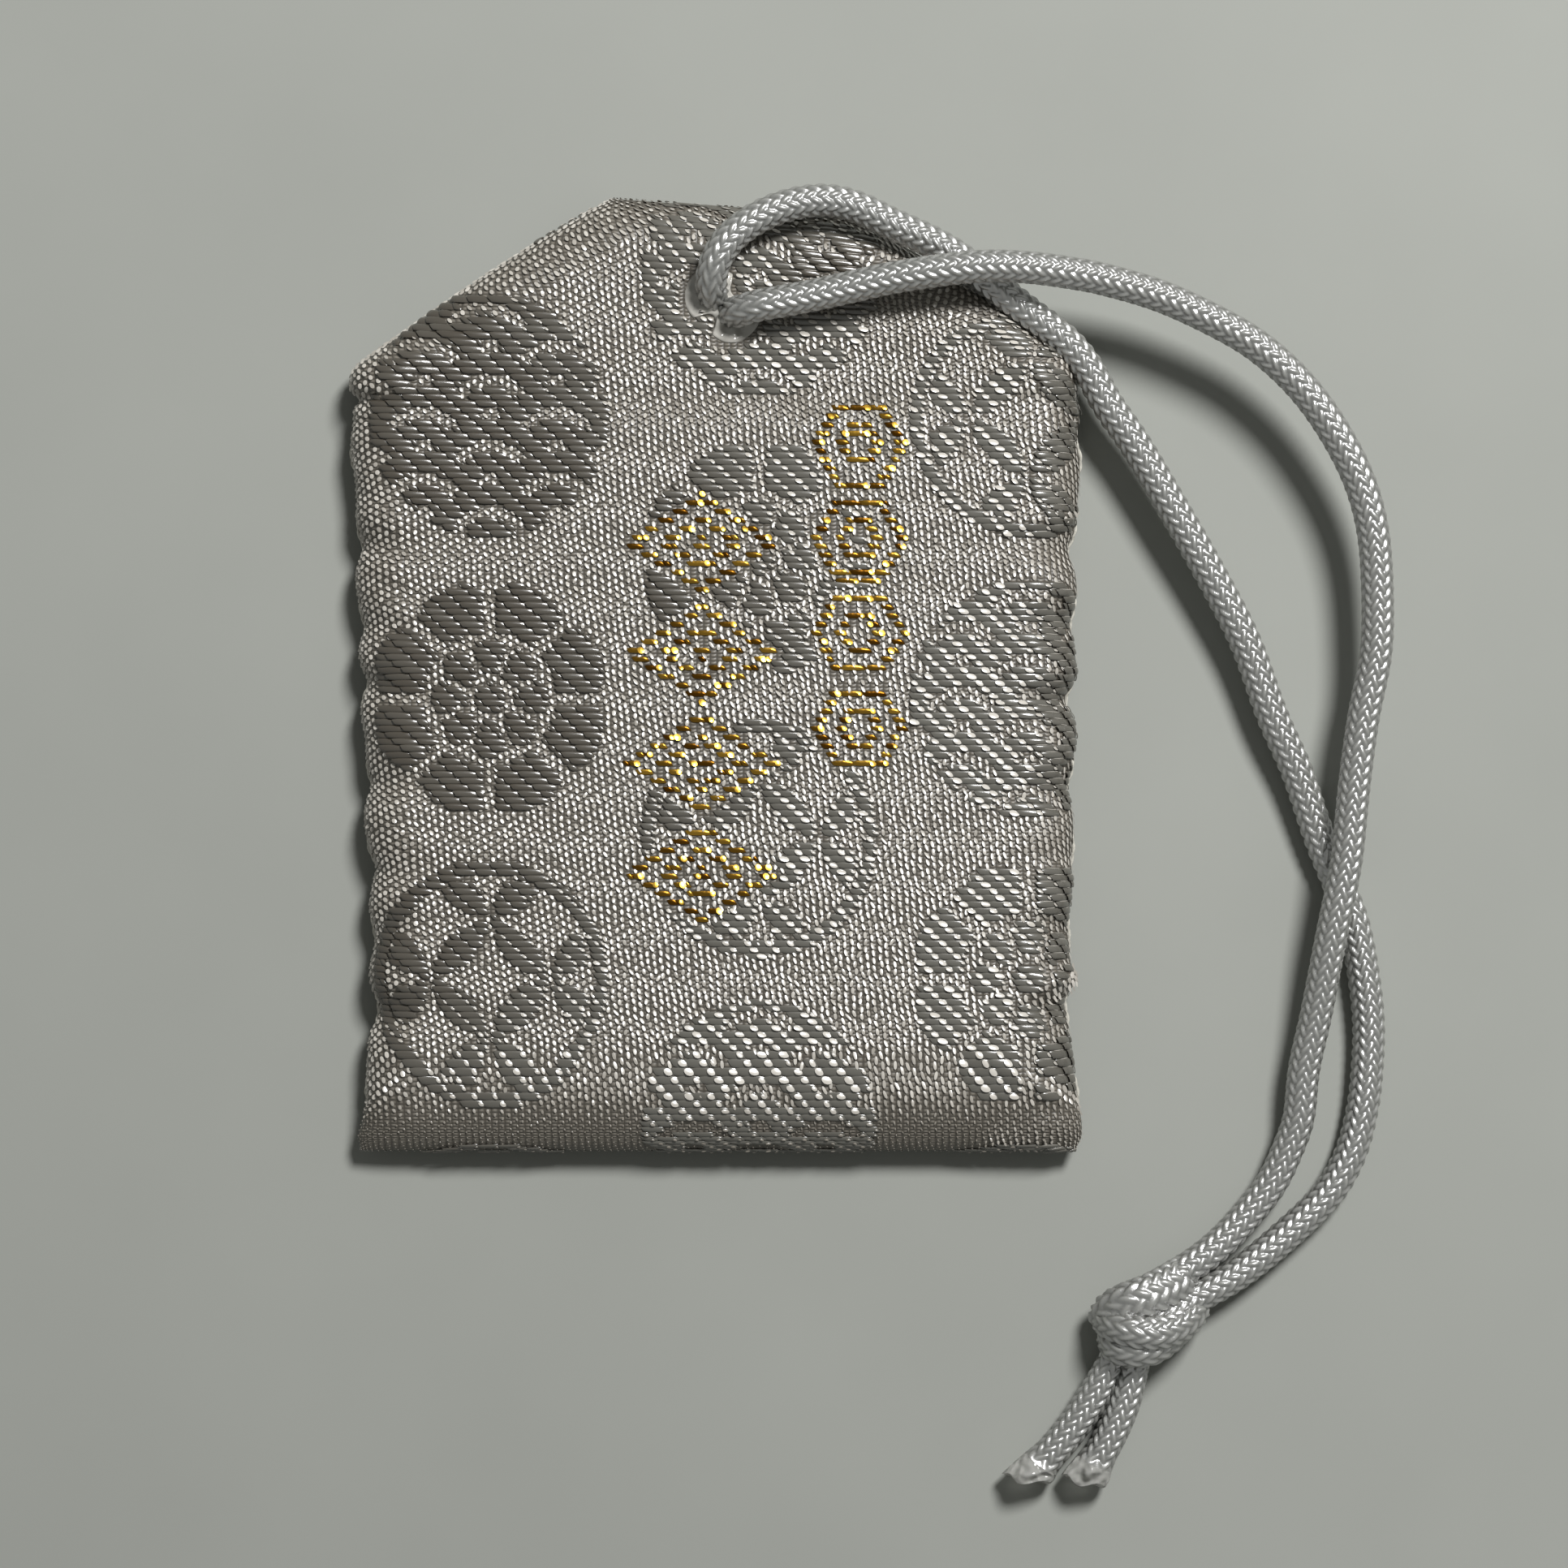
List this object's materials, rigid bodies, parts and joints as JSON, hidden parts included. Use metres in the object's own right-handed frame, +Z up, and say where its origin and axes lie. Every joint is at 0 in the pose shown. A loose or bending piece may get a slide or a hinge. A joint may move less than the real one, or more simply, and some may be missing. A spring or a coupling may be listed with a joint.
{
  "type": "omamori charm",
  "caption": "Flat brocade charm pouch with slanted shoulders, lined and stiffened by a paper pack, hung on a knotted braided cord that comes out of a punched hole in its front.",
  "frame": {"origin": "on the table, under the middle of the pouch, which lies on its back", "axes": "+Y towards the slanted shoulders and the top edge, +Z up out of the front face, +X to the right of the front"},
  "size_m": [0.0719, 0.0899, 0.0075],
  "materials": {
    "brocade": "white and silver figured weave with gold weft",
    "interlining": "matt white stiff backing cloth",
    "thread": "white sewing thread",
    "cord": "white braided polyester",
    "paper": "matt fibrous paper",
    "card": "matt grey-brown board"
  },
  "bodies": {
    "pouch": {"front_cloth": "brocade", "back_cloth": "brocade", "front_lining": "interlining", "back_lining": "interlining", "left_seam_thread": "thread", "right_seam_thread": "thread", "left_corner_tuck": "brocade", "right_corner_tuck": "brocade", "paper_sleeve": "paper", "stiffener_card": "card", "prayer_slip": "paper", "keeper_stitch": "thread", "cord_bight": "cord"},
    "cord_strands": {"cord_upper_near": "cord", "cord_lower_near": "cord"},
    "cord_loop": {"cord_upper_far": "cord", "cord_lower_far": "cord", "cord_knot": "cord"},
    "tail_left": {"cord_tail_left": "cord"},
    "tail_right": {"cord_tail_right": "cord"}
  },
  "joints": [
    {"name": "cord_swing", "type": "hinge", "parent": "pouch", "child": "cord_strands", "pos_m": [0.0004, 0.0258, 0.004], "axis": [0, 0, 1], "range_deg": [0, 110]},
    {"name": "cord_lift", "type": "hinge", "parent": "cord_strands", "child": "cord_loop", "pos_m": [0.015, 0.028, 0.0063], "axis": [-1, 0, 0], "range_deg": [0, 90]},
    {"name": "tail_left_bend", "type": "hinge", "parent": "cord_loop", "child": "tail_left", "pos_m": [0.0269, -0.0474, 0.0013], "axis": [0, 0, -1], "range_deg": [0, 15]},
    {"name": "tail_right_bend", "type": "hinge", "parent": "cord_loop", "child": "tail_right", "pos_m": [0.0293, -0.0482, 0.0013], "axis": [0, 0, 1], "range_deg": [0, 15]}
  ]
}
